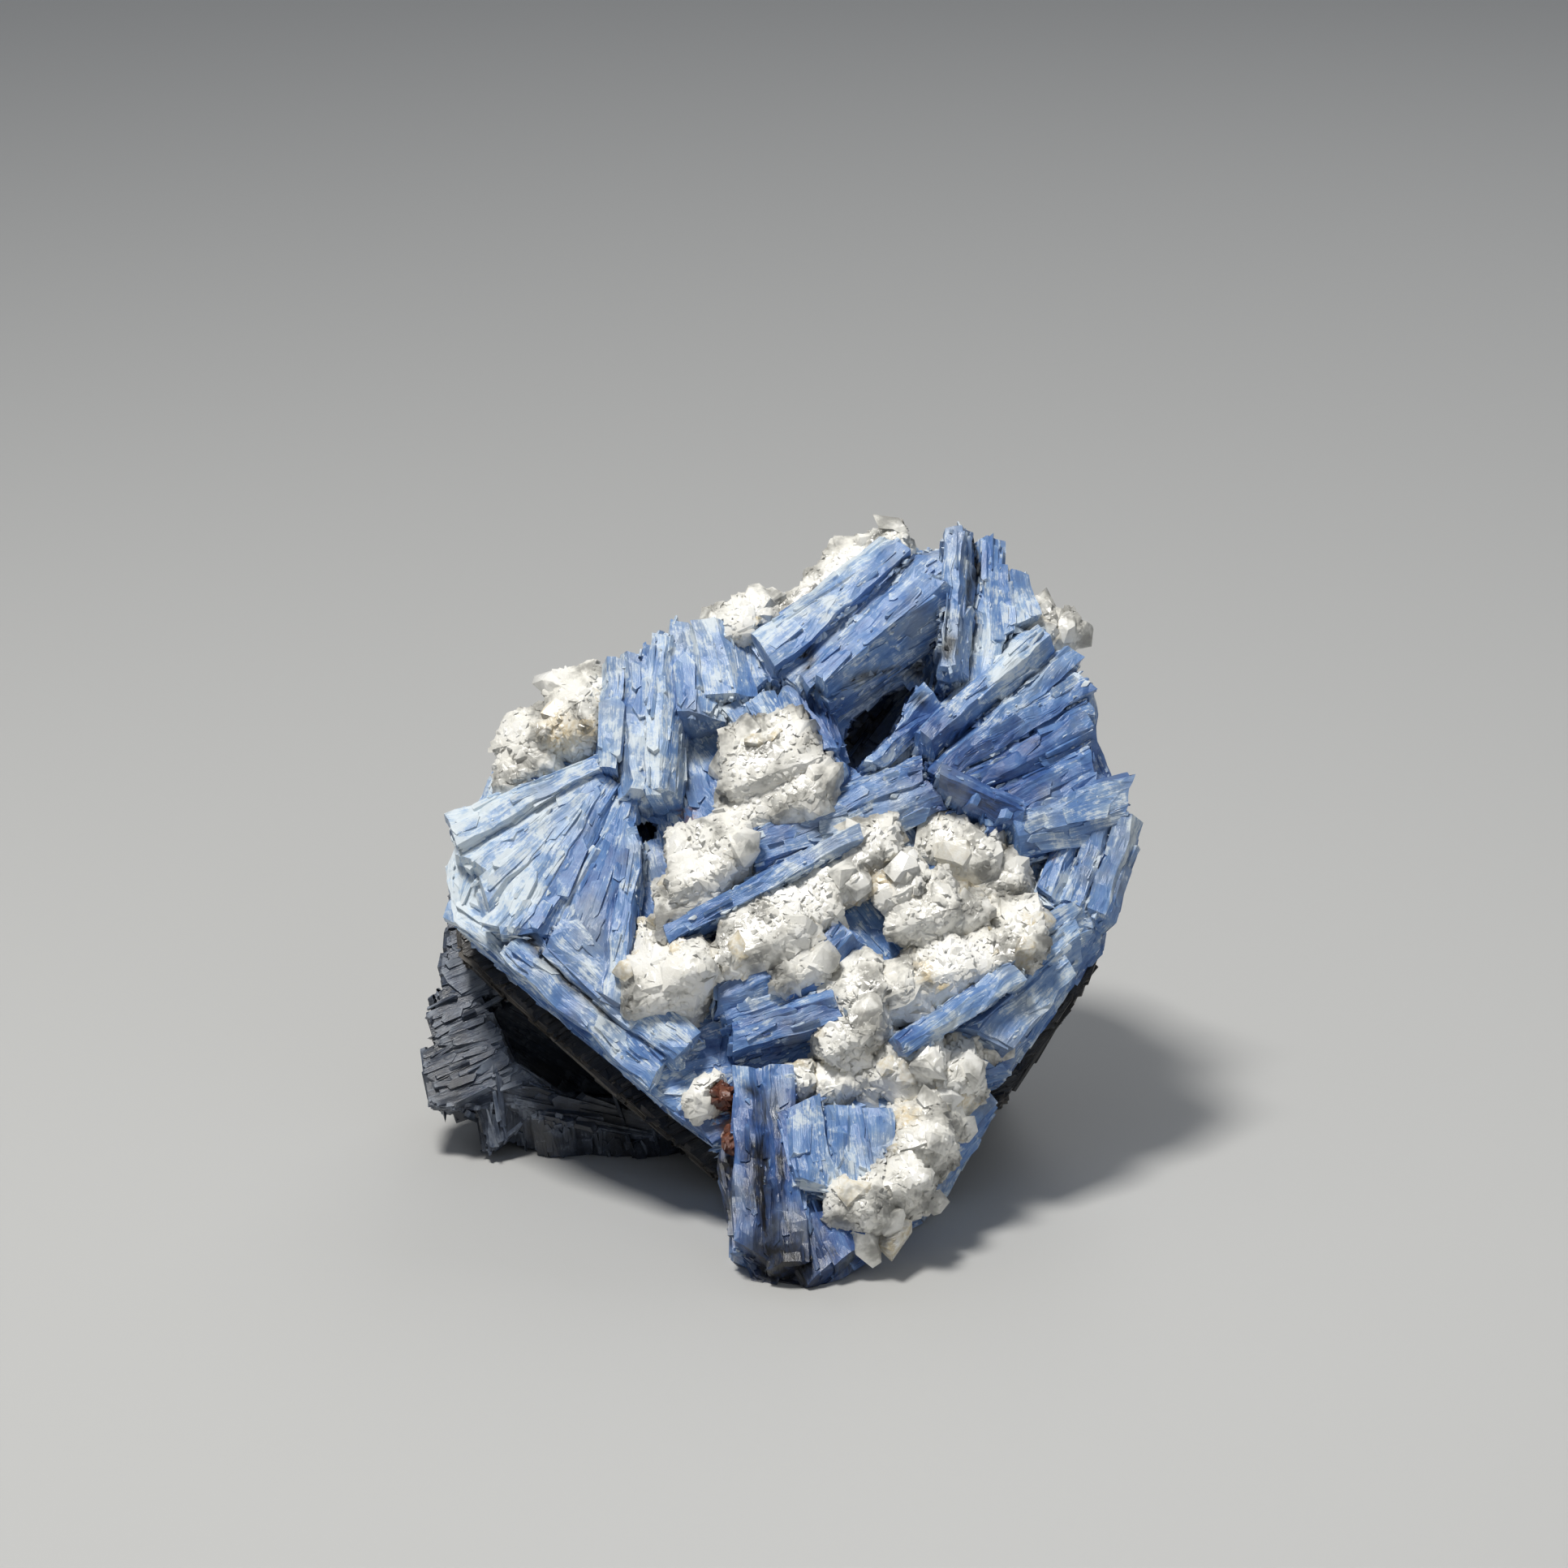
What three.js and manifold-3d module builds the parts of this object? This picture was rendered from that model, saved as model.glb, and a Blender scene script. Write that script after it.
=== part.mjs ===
// Kyanite blade cluster: a leaning slab of blue kyanite blades and white vein quartz, backed by a thin
// layer of dark mica and carried by a foot of darker kyanite blades.
// Millimetres, +Z up, X to the right and Y away from the viewer. The origin is under the middle of the
// cluster, on the surface that it stands on.

import * as THREE from "three";
import { ConvexGeometry } from "three/addons/geometries/ConvexGeometry.js";
import { mergeVertices } from "three/addons/utils/BufferGeometryUtils.js";
import Module from "manifold-3d";

const wasm = await Module();
wasm.setup();
const { Manifold } = wasm;
const { degToRad, lerp } = THREE.MathUtils;

// Driving dimensions: where the photograph was taken from, and the layers of the specimen.
const EYE_HEIGHT = 160; // viewpoint above the surface
const EYE_DISTANCE = 371.5; // viewpoint in front of the origin, along the surface
const EYE_PITCH = degToRad(18.8); // downward tilt of the lens
const FOCAL_PIXELS = 5925; // focal length in pixels of the photograph
const PHOTO_MIDDLE = 966; // the picture's centre, in both directions
const FACE_SLOPE = degToRad(51); // the bright face leans back this far from the horizontal
const FACE_FOOT_Y = -25; // where the plane of the bright face meets the surface
const SLAB_THICKNESS = 13; // from the bright face to the mica
const MICA_THICKNESS = 3.3;
const SLAB_TAPER = 0.9; // the slab's back outline against its front outline
const MICA_TAPERS = [1, 0.955, 0.98]; // outlines of the mica's sheets, from the slab to the foot
const SHEET_LAP = 0.2; // how far each sheet runs into the one before it
const GAP = 0.3; // left between neighbouring pieces
const BLADE_SINK = 3.5; // how deep a blade is rooted in what it grows from
const BLADE_OVERLAP = 1.06; // width of a blade in a sheaf against the room between its neighbours
const BLADE_WIDEST = 5;

// Materials, with the colours of the photograph.
const stone = (color, roughness) => new THREE.MeshStandardMaterial({ color, roughness, metalness: 0 });
const KYANITE = stone(0x6f8dc4, 0.45);
const DARK_KYANITE = stone(0x4a5a7a, 0.5);
const MICA = stone(0x2c2a2b, 0.35);
const QUARTZ = stone(0xe9e4d8, 0.25);
const GARNET = stone(0x6e2c17, 0.4);

// Repeatable random numbers from 0 to 1.
function randomFrom(seed) {
  let state = seed >>> 0;
  return () => {
    state = (state + 0x6d2b79f5) >>> 0;
    let mixed = Math.imul(state ^ (state >>> 15), state | 1);
    mixed ^= mixed + Math.imul(mixed ^ (mixed >>> 7), mixed | 61);
    return ((mixed ^ (mixed >>> 14)) >>> 0) / 4294967296;
  };
}

const vector = (x, y, z) => new THREE.Vector3(x, y, z);
const mixPoints = (a, b, share) => a.map((value, i) => lerp(value, b[i], share));

// The bright face's plane, and the sight line through a pixel of the photograph.
const faceNormal = vector(0, -Math.sin(FACE_SLOPE), Math.cos(FACE_SLOPE));
const faceFoot = vector(0, FACE_FOOT_Y, 0);
const eye = vector(0, -EYE_DISTANCE, EYE_HEIGHT);

function sightLine([px, py]) {
  const right = (px - PHOTO_MIDDLE) / FOCAL_PIXELS;
  const up = (PHOTO_MIDDLE - py) / FOCAL_PIXELS;
  const y = Math.cos(EYE_PITCH) + up * Math.sin(EYE_PITCH);
  const z = up * Math.cos(EYE_PITCH) - Math.sin(EYE_PITCH);
  return new THREE.Ray(eye, vector(right, y, z).normalize());
}

// The point seen at a pixel, lift millimetres in front of the bright face's plane.
function onFace([px, py, lift = 0]) {
  const plane = new THREE.Plane(faceNormal, -faceNormal.dot(faceFoot) - lift);
  return sightLine([px, py]).intersectPlane(plane, vector());
}

// The point seen at a pixel, at a distance along Y.
function atDepth(pixel, y) {
  return sightLine(pixel).intersectPlane(new THREE.Plane(vector(0, 1, 0), -y), vector());
}

// Solids from closed geometries, and meshes from solids.
function solidOf(geometry) {
  geometry.deleteAttribute("normal");
  geometry.deleteAttribute("uv");
  const merged = mergeVertices(geometry, 1e-4);
  const vertProperties = new Float32Array(merged.getAttribute("position").array);
  const triVerts = new Uint32Array(merged.index.array);
  return new Manifold(new wasm.Mesh({ numProp: 3, vertProperties, triVerts }));
}

function meshOf(name, solid, material) {
  const { vertProperties, triVerts } = solid.getMesh();
  const geometry = new THREE.BufferGeometry();
  geometry.setAttribute("position", new THREE.BufferAttribute(vertProperties, 3));
  geometry.setIndex(new THREE.BufferAttribute(triVerts, 1));
  geometry.computeVertexNormals();
  const mesh = new THREE.Mesh(geometry, material);
  mesh.name = name;
  return mesh;
}

const hull = (points) => solidOf(new ConvexGeometry(points));
const joined = (solids) => Manifold.union(solids);
const aboveSurface = (solid) => solid.trimByPlane([0, 0, 1], 0);

// The part of a solid in front of, or behind, the plane that lies depth behind the bright face.
const planeOffset = (depth) => faceNormal.dot(faceFoot) - depth;
const inFrontOf = (solid, depth) => solid.trimByPlane(faceNormal.toArray(), planeOffset(depth));
const behind = (solid, depth) =>
  solid.trimByPlane(faceNormal.clone().negate().toArray(), -planeOffset(depth));

// The biggest body of a solid, without the crumbs that a cut leaves.
function wholeBody(solid) {
  return solid.decompose().reduce((best, body) => (body.volume() > best.volume() ? body : best));
}

// Ways of looking at the carrying bodies, to find the point and the face under a feature.
const raycaster = new THREE.Raycaster();
const PROBE_DISTANCE = 200;

function firstHit(carrier, ray) {
  raycaster.ray.copy(ray);
  const [hit] = raycaster.intersectObject(carrier);
  return hit && { point: hit.point, normal: hit.face.normal };
}

// The seat of a feature at a place in a view; off the body's edge, it slides towards a place on the body.
function seat(carrier, view, place, home) {
  for (let slide = 0; slide < 1; slide += 0.03) {
    const hit = firstHit(carrier, VIEWS[view](mixPoints(place, home, slide)));
    if (hit) return hit;
  }
  throw new Error(`nothing carries the feature at ${place}`);
}

const lookAlong = (direction, place) => (pair) =>
  new THREE.Ray(place(pair).addScaledVector(direction, -PROBE_DISTANCE), direction);
const VIEWS = {
  photo: sightLine,
  back: lookAlong(vector(0, -1, 0), ([x, z]) => vector(x, 0, z)),
  left: lookAlong(vector(1, 0, 0), ([y, z]) => vector(0, y, z)),
  right: lookAlong(vector(-1, 0, 0), ([y, z]) => vector(0, y, z)),
};

// One kyanite blade: a long prism whose top is a flat sheet beside a sloping one, with slanting broken ends.
function blade({ tail, tip, normal, tailWidth, tipWidth, rise, sink, seed, grow = 0 }) {
  const random = randomFrom(seed);
  const along = tip.clone().sub(tail);
  const length = along.length();
  along.normalize();
  const up = normal.clone().addScaledVector(along, -normal.dot(along)).normalize();
  const across = up.clone().cross(along);

  const edge = lerp(-0.2, 0.2, random());
  const high = rise + grow;
  const low = rise * lerp(0.45, 0.85, random()) + grow;
  const [right, left] = random() < 0.5 ? [high, low] : [low, high];
  const bottom = -sink - grow;
  const section = [[-0.5, bottom], [0.5, bottom], [0.5, right], [edge, high], [-0.5, left]];

  const ring = (end, width, slant) =>
    section.map(([share, height]) =>
      tail.clone().addScaledVector(along, end + slant * share * width)
        .addScaledVector(across, share * (width + 2 * grow)).addScaledVector(up, height));
  const corners = [
    ...ring(-grow, tailWidth, lerp(-0.6, 0.6, random())),
    ...ring(length + grow, tipWidth, lerp(-0.6, 0.6, random())),
  ];

  const count = section.length;
  const index = [];
  for (let i = 0; i < count; i++) {
    const next = (i + 1) % count;
    index.push(i, next, count + next, i, count + next, count + i);
  }
  const contour = section.map(([share, height]) => new THREE.Vector2(share, height));
  for (const [a, b, c] of THREE.ShapeUtils.triangulateShape(contour, [])) {
    index.push(c, b, a, count + a, count + b, count + c);
  }
  const geometry = new THREE.BufferGeometry().setFromPoints(corners);
  geometry.setIndex(index);
  return solidOf(geometry);
}

// The mean distance from one point of a row to its neighbours.
function spacing(points, i) {
  const near = [points[i - 1], points[i + 1]].filter(Boolean);
  return near.reduce((sum, p) => sum + p.distanceTo(points[i]), 0) / near.length;
}

// A sheaf of blades side by side, fanning from between two tail places to between two tip places.
// One blade has its own width; several share out the room between their neighbours.
function sheaf(carrier, entry, seed) {
  const { view = "photo", tails, tips, count = 1, width = 1.2, rise, sink = BLADE_SINK, reach = 0 } = entry;
  const random = randomFrom(seed);
  const seats = [];
  for (let i = 0; i < count; i++) {
    const share = count === 1 ? 0.5 : i / (count - 1);
    const from = mixPoints(tails[0], tails.at(-1), share);
    const to = mixPoints(tips[0], tips.at(-1), share);
    seats.push({ start: seat(carrier, view, from, to), end: seat(carrier, view, to, from) });
  }
  const starts = seats.map(({ start }) => start.point);
  const ends = seats.map(({ end }) => end.point);
  const room = (points, i) => THREE.MathUtils.clamp(BLADE_OVERLAP * spacing(points, i), width, BLADE_WIDEST);
  const widthAt = (points, i) => (count === 1 ? width : room(points, i));
  return seats.map(({ start, end }, i) => {
    const along = ends[i].clone().sub(starts[i]).normalize();
    const normal = start.normal.clone().add(end.normal).normalize();
    return {
      tail: starts[i].clone().addScaledVector(along, -reach * random()),
      tip: ends[i].clone().addScaledVector(along, reach * random()),
      normal: normal.applyAxisAngle(along, degToRad(lerp(-10, 10, random()))),
      tailWidth: widthAt(starts, i),
      tipWidth: widthAt(ends, i),
      rise: rise * lerp(0.7, 1.15, random()),
      sink,
      seed: Math.floor(random() * 1e9),
    };
  });
}

// One quartz grain: an angular lump with flat faces.
function grain(centre, radius, seed, grow = 0) {
  const random = randomFrom(seed);
  const corners = 8;
  const points = [];
  for (let i = 0; i < corners; i++) {
    const height = 1 - (2 * (i + 0.5)) / corners;
    const turn = i * 2.4 + random();
    const ring = Math.sqrt(1 - height * height);
    const reach = radius * lerp(0.78, 1.15, random()) + grow;
    const corner = vector(ring * Math.cos(turn), ring * Math.sin(turn), height);
    points.push(corner.multiplyScalar(reach).add(centre));
  }
  return hull(points);
}

// A quartz mass: grains strewn along a spine of places on the carrying body.
function quartzGrains(carrier, { view = "photo", spine, grains, size, spread, lift = 0 }, seed) {
  const random = randomFrom(seed);
  const list = [];
  for (let i = 0; i < grains; i++) {
    const along = (i / Math.max(1, grains - 1)) * (spine.length - 1);
    const leg = Math.min(spine.length - 2, Math.floor(along));
    const place = spine.length === 1 ? spine[0] : mixPoints(spine[leg], spine[leg + 1], along - leg);
    const hit = seat(carrier, view, place, spine[0]);
    const aside = vector(random() - 0.5, random() - 0.5, random() - 0.5).multiplyScalar(2 * spread);
    aside.addScaledVector(hit.normal, -aside.dot(hit.normal) + lift);
    list.push({
      centre: hit.point.clone().add(aside),
      radius: size * lerp(0.75, 1.2, random()),
      seed: Math.floor(random() * 1e9),
    });
  }
  return list;
}

const grainSolids = (list, grow) => joined(list.map((g) => grain(g.centre, g.radius, g.seed, grow)));
const bladeSolids = (list, grow = 0) => joined(list.map((b) => blade({ ...b, grow })));

// The slab's body: two convex lumps whose fronts follow the bright face, as pixel, pixel and lift.
const SLAB_FRONT = [
  [562, 1130, -4], [555, 1070, -5], [612, 950, -5], [680, 880, -5], [775, 830, -4], [900, 785, -5],
  [1050, 695, -5], [1110, 680, -5], [1190, 685, -4], [1230, 710, -5], [1310, 800, -5], [1332, 900, -5],
  [1385, 1025, -6], [1372, 1075, -6], [1350, 1165, -6], [1238, 1316, -4], [880, 1405, -3], [700, 1250, -3],
  [950, 1050, -2], [1100, 900, -2.5], [1100, 1200, -2],
];
const TIP_FRONT = [
  [905, 1340, -3], [890, 1440, -3], [908, 1525, -2.5], [932, 1572, -1], [1000, 1586, -0.5], [1040, 1566, -1],
  [1145, 1482, -7], [1222, 1366, -7], [1170, 1300, -3], [1040, 1430, -2], [960, 1400, -2.5],
];

// A convex lump that runs back from its front points, thickness deep, with a smaller outline at the back.
function slabLump(front, thickness, taper = SLAB_TAPER) {
  const points = front.map(onFace);
  const middle = points.reduce((sum, p) => sum.add(p), vector()).divideScalar(points.length);
  const back = points.map((p) => middle.clone().lerp(p, taper).addScaledVector(faceNormal, -thickness));
  return hull([...points, ...back]);
}

// The slab is undercut along its lower left edge, where a sight line only grazes it.
const UNDERCUT_EDGE = [[566, 1142], [884, 1412]];
const [undercutUpper, undercutLower] = UNDERCUT_EDGE.map((pixel) => sightLine(pixel).direction);
const undercutNormal = undercutLower.clone().cross(undercutUpper).normalize();
const undercut = (solid) => solid.trimByPlane(undercutNormal.toArray(), undercutNormal.dot(eye));

const slabLumps = joined([undercut(slabLump(SLAB_FRONT, 18)), slabLump(TIP_FRONT, 9)]);
const slabBody = inFrontOf(slabLumps, SLAB_THICKNESS);
const slabCarrier = meshOf("slab", slabBody);

// The mica behind the slab: flat sheets of differing outline, one body.
const sheetThickness = MICA_THICKNESS / MICA_TAPERS.length;
const micaSheets = MICA_TAPERS.map((taper, i) => {
  const front = SLAB_THICKNESS + GAP + i * sheetThickness;
  const lap = i > 0 ? SHEET_LAP : 0;
  return behind(inFrontOf(slabLump(SLAB_FRONT, 20, taper), front + sheetThickness), front - lap);
});

// The foot's body, behind the mica: corners in millimetres, cut by the mica's plane and the surface.
const FOOT_CORNERS = [
  [-20, 3, -1], [13, 3, -1], [17, 18, -1], [-24, 15, -1], [-18, 23, -1], [10, 24, -1], [-28, 1, 5],
  [-30, 2, 11], [-28.5, 13, 22], [25, 9, 18], [22, 20, 26], [0, 24, 36], [-22, 19, 30], [15, 23, 34],
];
const footDepth = SLAB_THICKNESS + MICA_THICKNESS + 2 * GAP;
const footBody = behind(hull(FOOT_CORNERS.map((corner) => vector(...corner))), footDepth);
const footCarrier = meshOf("foot", footBody);

// Blades of the slab: by pixel in the photograph's view, by millimetre in the others.
const SLAB_SHEAVES = [
  { tails: [[735, 962], [728, 1000]], tips: [[568, 1040], [624, 1152]], count: 4, rise: 3, reach: 1.4 },
  { tails: [[758, 975], [778, 1030]], tips: [[655, 1160], [742, 1235]], count: 3, rise: 3 },
  { tails: [[782, 815], [838, 815]], tips: [[782, 1000], [826, 1000]], count: 3, rise: 4.6 },
  { tails: [[766, 830]], tips: [[755, 965]], width: 1.6, rise: 3.4 },
  { tails: [[850, 800], [885, 790]], tips: [[862, 905], [905, 880]], count: 2, rise: 3.6 },
  { tails: [[908, 790], [938, 790]], tips: [[890, 850], [945, 850]], count: 2, rise: 3 },
  { tails: [[905, 885], [965, 875]], tips: [[955, 950], [1012, 945]], count: 3, rise: 3 },
  { tails: [[945, 832], [980, 862]], tips: [[1105, 705], [1132, 725]], count: 2, rise: 5, reach: 0.4 },
  { tails: [[995, 868], [1012, 882]], tips: [[1145, 722], [1165, 760]], count: 2, width: 1.8, rise: 5.6 },
  { tails: [[1170, 850], [1198, 850]], tips: [[1178, 690], [1204, 690]], count: 2, rise: 5, reach: 1 },
  { tails: [[1228, 800], [1250, 785]], tips: [[1222, 720], [1240, 735]], count: 2, rise: 4, reach: 0.5 },
  { tails: [[1132, 925], [1150, 955]], tips: [[1255, 810], [1300, 825]], count: 3, rise: 4, reach: 0.6 },
  { tails: [[1145, 968], [1175, 1000]], tips: [[1328, 850], [1336, 915]], count: 3, rise: 3.6 },
  { tails: [[1205, 1012], [1240, 1040]], tips: [[1335, 950], [1370, 1000]], count: 2, rise: 3.2 },
  {
    tails: [[905, 1062], [925, 1072]], tips: [[1135, 962], [1150, 990]],
    width: 1.7, count: 2, rise: 3.4, sink: 6,
  },
  { tails: [[828, 1166]], tips: [[1060, 1042]], width: 1.5, rise: 4, sink: 7 },
  { tails: [[1145, 985]], tips: [[1245, 1032]], width: 1.2, rise: 4.4 },
  { tails: [[1380, 1020], [1330, 1015]], tips: [[1345, 1140], [1290, 1120]], count: 3, rise: 3 },
  { tails: [[1200, 1285], [1255, 1185]], tips: [[1300, 1195], [1325, 1135]], count: 3, rise: 3 },
  { tails: [[1092, 1298]], tips: [[1235, 1206]], width: 1.2, rise: 5, sink: 7 },
  { tails: [[885, 1240], [905, 1290]], tips: [[1000, 1190], [1030, 1250]], count: 3, rise: 3 },
  { tails: [[1008, 1205]], tips: [[1045, 1160]], width: 2.6, rise: 3.6, sink: 6 },
  { tails: [[640, 1165], [680, 1170]], tips: [[815, 1325], [845, 1305]], count: 2, rise: 2.4 },
  { tails: [[925, 1330], [955, 1330]], tips: [[932, 1555], [972, 1570]], count: 2, rise: 2.6 },
  { tails: [[985, 1385], [1075, 1385]], tips: [[1005, 1480], [1082, 1475]], count: 3, rise: 3.4 },
  { tails: [[1045, 1530]], tips: [[1200, 1355]], width: 1.2, rise: 2.4 },
  { tails: [[985, 1500], [1020, 1505]], tips: [[1010, 1575], [1038, 1558]], count: 2, rise: 1.8 },
  { tails: [[1065, 955]], tips: [[1140, 870]], width: 1.5, rise: 3 },
  { tails: [[1008, 872]], tips: [[1032, 965]], width: 1.7, rise: 3.6 },
  { view: "left", tails: [[3, 20]], tips: [[13, 34]], width: 4, rise: 1.2 },
  { view: "right", tails: [[0, 22], [3, 18]], tips: [[13, 38], [15, 33]], count: 2, rise: 0.9 },
];

// Blades of the foot.
const FOOT_SHEAVES = [
  { tails: [[620, 1215]], tips: [[524, 1248]], width: 2.4, rise: 1, reach: 1 },
  { tails: [[550, 1290], [605, 1290]], tips: [[572, 1366], [632, 1392]], count: 2, rise: 1.4 },
  { tails: [[690, 1370], [800, 1390]], tips: [[695, 1425], [810, 1425]], count: 3, width: 1.6, rise: 1.6 },
  { view: "left", tails: [[5, 3], [15, 2]], tips: [[6, 13], [15, 20]], count: 2, rise: 1.4 },
  { view: "right", tails: [[6, 3], [18, 3]], tips: [[10, 17], [19, 23]], count: 2, rise: 1.2 },
  { view: "back", tails: [[-20, 3], [-11, 2]], tips: [[-18, 24], [-12, 27]], count: 2, rise: 1.6 },
  { view: "back", tails: [[1, 2], [9, 3]], tips: [[4, 30], [13, 30]], count: 2, rise: 1.6 },
  { view: "back", tails: [[-12, 24]], tips: [[5, 32]], width: 4.5, rise: 2.2 },
];

// Hollows of the bright face: the pixels of a rim, cut down to a depth.
const HOLLOWS = [
  { rim: [[1025, 935], [1045, 880], [1110, 838], [1132, 850], [1105, 905], [1055, 955]], depth: 9 },
  { rim: [[775, 1012], [800, 1004], [818, 1016], [812, 1040], [785, 1045]], depth: 7 },
];
const hollow = ({ rim, depth }) =>
  hull(rim.flatMap((pixel) => [5, -depth].map((lift) => onFace([...pixel, lift]))));

// The dark cave in the front of the foot, under the mica, between two distances along Y.
const CAVE_RIM = [[590, 1228], [640, 1218], [720, 1282], [838, 1368], [800, 1362], [700, 1358], [630, 1310]];
const CAVE_DEPTHS = [-10, 11];
const cave = hull(CAVE_RIM.flatMap((pixel) => CAVE_DEPTHS.map((y) => atDepth(pixel, y))));

// Quartz masses, each in a pocket of the slab or of the foot.
const SLAB_QUARTZ = {
  quartz_left_shoulder: {
    spine: [[640, 950], [672, 905], [705, 870], [738, 845], [715, 905], [680, 945]],
    grains: 6, size: 3.6, spread: 0.8, lift: 0.8,
  },
  quartz_top: {
    spine: [[905, 790], [940, 770], [985, 765], [1020, 740], [1060, 712], [1100, 698]],
    grains: 6, size: 3.4, spread: 0.5, lift: 1.2,
  },
  quartz_upper_middle: {
    spine: [[945, 950], [995, 990], [940, 1005], [900, 1050], [870, 1090], [848, 1132]],
    grains: 6, size: 4.5, spread: 0.7, lift: 1.2,
  },
  quartz_middle_band: {
    spine: [[800, 1225], [845, 1205], [895, 1190], [940, 1165], [985, 1140], [985, 1195]],
    grains: 6, size: 4.6, spread: 0.7, lift: 1.2,
  },
  quartz_middle_cluster: {
    spine: [[1050, 1090], [1080, 1050], [1115, 1085], [1095, 1115], [1135, 1130], [1178, 1138]],
    grains: 6, size: 3.7, spread: 0.7, lift: 1.4,
  },
  quartz_lower_right: {
    spine: [[1050, 1275], [1050, 1235], [1095, 1220], [1145, 1210], [1190, 1190], [1235, 1178]],
    grains: 6, size: 4.2, spread: 0.7, lift: 1.3,
  },
  quartz_right_pocket: {
    spine: [[1170, 1040], [1215, 1070], [1232, 1110]],
    grains: 4, size: 3.1, spread: 0.6, lift: 0.5,
  },
  quartz_grey_pocket: {
    spine: [[1185, 1292], [1225, 1262], [1252, 1238]],
    grains: 4, size: 2.5, spread: 0.4, lift: 0.4,
  },
  quartz_lower_edge: {
    spine: [[1115, 1325], [1165, 1322], [1145, 1370], [1120, 1410], [1095, 1455], [1062, 1490]],
    grains: 6, size: 3.8, spread: 0.6, lift: 1,
  },
  quartz_lower_pocket: {
    spine: [[990, 1345], [1030, 1338], [1066, 1340]],
    grains: 3, size: 2.5, spread: 0.7, lift: 0.8,
  },
  quartz_rim: { spine: [[858, 1362], [872, 1345]], grains: 2, size: 1.9, spread: 0.3, lift: 0.8 },
  quartz_right_shoulder: { spine: [[1275, 775], [1298, 790]], grains: 3, size: 2.3, spread: 0.6, lift: 1.4 },
};
const FOOT_QUARTZ = {
  quartz_back: {
    view: "back", spine: [[-7, 6], [-5, 11], [-6, 17]],
    grains: 4, size: 3.2, spread: 0.8, lift: 0.4,
  },
};

// Garnets, by pixel and radius.
const GARNETS = [[890, 1354, 1.2], [916, 1380, 0.8], [912, 1412, 1.1]];
const GARNET_LIFT = 1.3;

// Seeds keep each list of features the same on every build.
const sheavesOf = (carrier, list, seed) => list.flatMap((entry, i) => sheaf(carrier, entry, seed + 31 * i));
const massesOf = (carrier, table, seed) =>
  Object.entries(table).map(([name, entry], i) => {
    return { name, list: quartzGrains(carrier, entry, seed + 17 * i) };
  });

const garnets = GARNETS.map(([px, py, radius]) => {
  const { point, normal } = firstHit(slabCarrier, sightLine([px, py]));
  return { centre: point.addScaledVector(normal, GARNET_LIFT), radius };
});

function garnetSolid({ centre, radius }, grow = 0) {
  const geometry = new THREE.DodecahedronGeometry(radius + grow);
  geometry.translate(...centre);
  return solidOf(geometry);
}

const cluster = new THREE.Group();
function addPiece(name, solid, material) {
  cluster.add(meshOf(name, wholeBody(aboveSurface(solid)), material));
}

// A kyanite body with its blades grown on, hollowed by its holes and by a pocket round every quartz grain,
// and the quartz that fills the pockets between the blades.
function addLayer(name, material, trim, body, blades, holes, masses) {
  const pockets = masses.map(({ list }) => grainSolids(list, GAP));
  const kyanite = body.subtract(joined(pockets)).add(bladeSolids(blades)).subtract(joined(holes));
  addPiece(name, trim(kyanite), material);
  let taken = joined([bladeSolids(blades, GAP), ...holes]);
  masses.forEach(({ name: quartzName, list }, i) => {
    addPiece(quartzName, trim(grainSolids(list, 0).subtract(taken)), QUARTZ);
    taken = taken.add(pockets[i]);
  });
}

addLayer(
  "kyanite_slab",
  KYANITE,
  (solid) => inFrontOf(solid, SLAB_THICKNESS),
  slabBody,
  sheavesOf(slabCarrier, SLAB_SHEAVES, 100),
  [...HOLLOWS.map(hollow), ...garnets.map((garnet) => garnetSolid(garnet, GAP))],
  massesOf(slabCarrier, SLAB_QUARTZ, 900),
);
addPiece("mica_layer", joined(micaSheets), MICA);
addLayer(
  "kyanite_foot",
  DARK_KYANITE,
  (solid) => behind(solid, footDepth),
  footBody,
  sheavesOf(footCarrier, FOOT_SHEAVES, 5000),
  [cave],
  massesOf(footCarrier, FOOT_QUARTZ, 7000),
);
garnets.forEach((garnet, i) => addPiece(`garnet_${i + 1}`, garnetSolid(garnet), GARNET));

// The cluster is moved so that the origin is under its middle.
const box = new THREE.Box3().setFromObject(cluster);
for (const piece of cluster.children) {
  piece.position.set(-(box.min.x + box.max.x) / 2, -(box.min.y + box.max.y) / 2, -box.min.z);
}

export default cluster;
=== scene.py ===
"""Looks of a kyanite blade cluster: blades, quartz crystals, mica leaves and garnets over the CAD solids.

Metres, in the CAD frame. The bright leaning face looks along -Y.
"""

import math

import bmesh
import bpy
import numpy as np
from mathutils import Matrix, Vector, noise
from mathutils.bvhtree import BVHTree


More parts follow.
